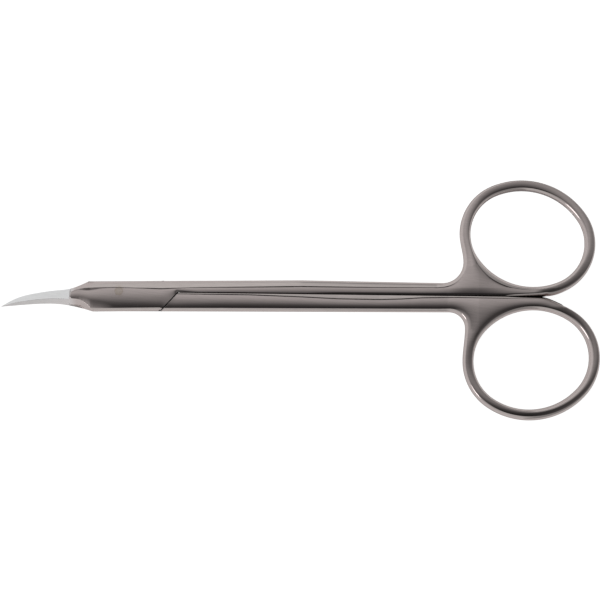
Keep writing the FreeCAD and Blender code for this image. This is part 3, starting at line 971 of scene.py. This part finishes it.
def steel_material(name, colour, roughness, stain_strength, masks=True):
    material, tree = new_material(name)
    place = add(tree, "ShaderNodeTexCoord").outputs["Object"]
    lines = use_group(tree, lines_group, {"Vector": place})
    fine = use_group(tree, lines_group, {"Vector": place, "Across": 5200.0, "Along": 300.0,
                                         "Turn": 0.12})
    stain = use_group(tree, stain_group, {"Vector": place})
    ground, lapped, seam = (mask(tree, part) if masks else 0.0
                            for part in ("ground", "lapped", "seam"))
    bare = calculate(tree, "MAXIMUM", ground, lapped)
    shade = remap(tree, fine.outputs["Height"], 0.3, 0.7, 0.93, 1.05)
    # Painted sheen, in part: the bevels and inner faces are blended toward the pale colour.
    tone = blend(tree, bare, colour, ground_tone_and_sheen_colour)
    tone = blend(tree, 1.0, tone, shade, "MULTIPLY")
    stained = calculate(tree, "MULTIPLY", stain.outputs["Stain"], stain_strength)
    tone = blend(tree, stained, tone, stain_colour)
    # Painted shade: the seams' mask mixes the steel into a near-black diffuse; the faint line
    # round the screw's end is its own dark joint.
    seam_shade_and_rim_line = calculate(tree, "MAXIMUM", remap(tree, seam, 0.05, 0.45),
                     calculate(tree, "MULTIPLY", stain.outputs["Seam"], 0.12))
    rough = remap(tree, lines.outputs["Patch"], 0.0, 1.0, roughness, roughness + 0.035)
    for share, most in ((ground, 0.30), (lapped, 0.22)):
        rough = calculate(tree, "MAXIMUM", rough, calculate(tree, "MULTIPLY", share, most))
    depth = remap(tree, bare, 0.0, 1.0, 0.035, 0.22)
    bump = add(tree, "ShaderNodeBump", {"Strength": depth, "Distance": 0.00002,
                                        "Height": lines.outputs["Height"]})
    shader = add(tree, "ShaderNodeBsdfPrincipled", {
        "Base Color": tone, "Metallic": 1.0, "Roughness": rough,
        "Specular Tint": (0.62, 0.60, 0.59, 1), "Normal": bump.outputs[0]})
    # Near-black diffuse for the painted seam shade and the screw's rim line.
    seam_shade_and_rim = add(tree, "ShaderNodeBsdfDiffuse", {"Color": seam_shade_and_rim_colour})
    mixed = add(tree, "ShaderNodeMixShader", {0: seam_shade_and_rim_line, 1: shader.outputs[0],
                                              2: seam_shade_and_rim.outputs[0]})
    add(tree, "ShaderNodeOutputMaterial", {"Surface": mixed.outputs[0]})
    return material


polished = steel_material("polished_steel", polished_colour, 0.055, 0.35)
screw_metal = steel_material("screw_steel", (0.575, 0.500, 0.455, 1), 0.13, 0.5, masks=False)
for piece in (front_piece, rear_piece):
    piece.data.materials.append(polished)
for piece in (screw_head, screw_end):
    piece.data.materials.append(screw_metal)

# %% [markdown]
# A polished part shows its surroundings, so the room is the greys that the steel
# reflects: a dim ceiling, a bright wall to either side with a narrow dark edge before
# the upper one, and more light from the blades' end than from the rings'. The camera
# itself sees plain white. The table carries the faint contact shadow.

# %% The room
def linear(grey):
    c = grey / 255
    return ((c + 0.055) / 1.055) ** 2.4 if c > 0.04045 else c / 12.92


steel_reflectance = 0.565
wall_from, wall_tint = 30.0, (0.985, 1.008, 1.0)
# Stops of the surroundings: direction in degrees and grey seen in the steel
across_stops = [(-90, 168), (-40, 160), (-31.5, 150), (-28, 35), (-22, 32), (-17, 44),
                (-13, 58), (-10, 72), (-7, 90), (-4, 107), (-1, 118), (2, 130), (5, 140),
                (9, 148), (15, 155), (18, 150), (20.5, 10), (28.5, 10), (31, 165), (38, 173),
                (75, 170), (90, 140)]
endwise_stops = [(-90, 172), (-40, 168), (-25, 150), (-13, 128), (-8, 85), (-3.5, 25), (0, 0),
                 (30, 80), (70, 110), (90, 140)]
# Shade toward the rings' end: direction in degrees and share of light left
dimmed_stops = [(0, 1.0), (6, 0.8), (14, 0.52), (45, 0.52), (90, 0.9)]


def room_ramp(tree, split, axis, stops):
    turn = calculate(tree, "ARCTAN2", split.outputs[axis], split.outputs["Z"])
    ramp = add(tree, "ShaderNodeValToRGB",
               {"Fac": remap(tree, turn, -math.pi / 2, math.pi / 2)})
    for i, (degrees, level) in enumerate(stops):
        spot = (degrees + 90) / 180
        elements = ramp.color_ramp.elements
        element = elements[i] if i < 2 else elements.new(spot)
        element.position = spot
        element.color = (*level, 1)
    return ramp.outputs["Color"]


def levels(stops, tint=(1.0, 1.0, 1.0)):
    """Light of each stop, with the walls' tint beyond where they start."""
    return [(degrees, [linear(grey) / steel_reflectance
                       * (part if abs(degrees) > wall_from else 1.0) for part in tint])
            for degrees, grey in stops]


world = bpy.data.worlds.new("room")
scene.world = world
world.use_nodes = True
tree = world.node_tree
tree.nodes.clear()
split = add(tree, "ShaderNodeSeparateXYZ",
            {0: add(tree, "ShaderNodeTexCoord").outputs["Generated"]})
across = room_ramp(tree, split, "Y", levels(across_stops, wall_tint))
endwise = room_ramp(tree, split, "X", levels(endwise_stops))
dimmed = room_ramp(tree, split, "X", [(degrees, [share] * 3) for degrees, share in
                                      [(-90, 1.0)] + dimmed_stops])
shaded = blend(tree, 1.0, across, dimmed, "MULTIPLY")
room = blend(tree, 1.0, shaded, endwise, "LIGHTEN")
lit = add(tree, "ShaderNodeBackground", {"Color": room})
white = add(tree, "ShaderNodeBackground", {"Color": (1, 1, 1, 1)})
seen = add(tree, "ShaderNodeLightPath").outputs["Is Camera Ray"]
chosen = add(tree, "ShaderNodeMixShader", {0: seen, 1: lit.outputs[0], 2: white.outputs[0]})
add(tree, "ShaderNodeOutputWorld", {"Surface": chosen.outputs[0]})

# %% The table and a small soft lamp
bpy.ops.object.select_all(action="DESELECT")
bpy.ops.mesh.primitive_plane_add(size=1.6, location=(0.035, -0.002, 0))
table = bpy.context.object
table.name = "white_table"
material, tree = new_material("white_table")
path = add(tree, "ShaderNodeLightPath")
mirrored = calculate(tree, "MAXIMUM", path.outputs["Is Glossy Ray"],
                     path.outputs["Is Transmission Ray"])
strength = calculate(tree, "MAXIMUM",
                     calculate(tree, "MULTIPLY", path.outputs["Is Camera Ray"], 0.90),
                     calculate(tree, "MULTIPLY", mirrored, 0.52))
glow = add(tree, "ShaderNodeEmission", {"Strength": strength})
matt = add(tree, "ShaderNodeBsdfDiffuse", {"Color": (0.45, 0.45, 0.45, 1)})
total = add(tree, "ShaderNodeAddShader", {0: matt.outputs[0], 1: glow.outputs[0]})
add(tree, "ShaderNodeOutputMaterial", {"Surface": total.outputs[0]})
table.data.materials.append(material)

centre = Vector((34.71 * MM, -1.726 * MM, 2.6 * MM))
toward = Vector((-0.46, -0.44, 0.77)).normalized()
bpy.ops.object.light_add(type="AREA", location=centre + toward * 0.9)
lamp = bpy.context.object
lamp.name = "soft_lamp"
lamp.data.shape, lamp.data.size, lamp.data.energy = "DISK", 0.22, 0.30
lamp.rotation_euler = toward.to_track_quat("Z", "Y").to_euler()

# %% The camera, straight above
frame_width = 600 * 0.19176 * MM
camera_data = bpy.data.cameras.new("camera")
camera_data.lens, camera_data.sensor_width = 150, 36
camera = bpy.data.objects.new("camera", camera_data)
scene.collection.objects.link(camera)
camera.location = centre + Vector((0, 0, frame_width * camera_data.lens / 36))
scene.camera = camera
scene.view_settings.view_transform = "Standard"
